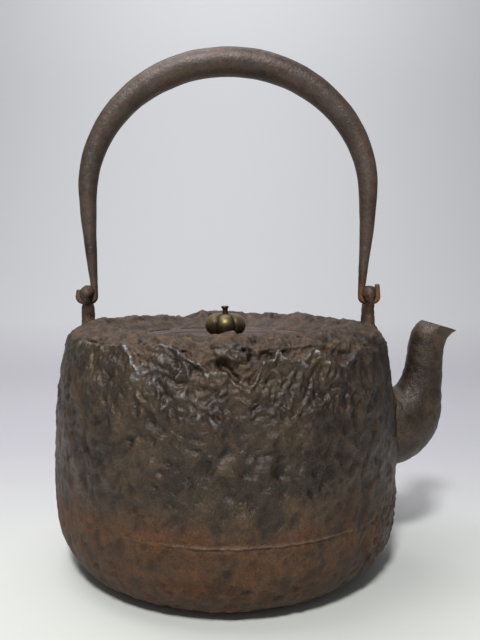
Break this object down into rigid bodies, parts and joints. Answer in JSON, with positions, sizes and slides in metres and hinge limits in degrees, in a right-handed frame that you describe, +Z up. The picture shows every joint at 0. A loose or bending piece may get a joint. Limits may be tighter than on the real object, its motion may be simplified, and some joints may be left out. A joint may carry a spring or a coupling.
{
  "type": "cast iron teapot",
  "caption": "Cast iron kettle for hot water: rock-textured cast body with a short spout, hollow swinging bail, loose bronze lid and a lobed brass knob.",
  "frame": {"origin": "centre of the flat base, on the axis of the round body", "axes": "+Z up, +X towards the spout, +Y to the left of somebody who looks along +X; the bail swings about a line along X"},
  "size_m": [0.177, 0.1492, 0.2217],
  "materials": {
    "cast_iron": "rough rock-like cast skin, dark brown with worn glinting ridges and red-brown rust below",
    "forged_iron": "hammered and smoothed, dark grey-brown satin with rust",
    "bronze": "dark purplish brown patina",
    "brass": "aged olive brass, polished on the high places"
  },
  "bodies": {
    "kettle": {"kettle_body": "cast_iron", "spout": "cast_iron", "spout_side_ear": "cast_iron", "far_side_ear": "cast_iron"},
    "bail": {"bail_grip": "forged_iron", "spout_side_hook": "forged_iron", "far_side_hook": "forged_iron"},
    "lid": {"lid": "bronze", "lid_collar": "bronze", "knob_seat": "brass", "knob_pin": "brass", "pin_washer": "brass"},
    "knob": {"knob": "brass"}
  },
  "joints": [
    {"name": "bail_swing", "type": "hinge", "parent": "kettle", "child": "bail", "pos_m": [0, 0, 0.112], "axis": [1, 0, 0], "range_deg": [-100, 100]},
    {"name": "lid_lift", "type": "slide", "parent": "kettle", "child": "lid", "axis": [0, 0, 1], "range_m": [0, 0.06]},
    {"name": "knob_turn", "type": "hinge", "parent": "lid", "child": "knob", "pos_m": [0, 0, 0.1014], "axis": [0, 0, 1], "continuous": true}
  ]
}
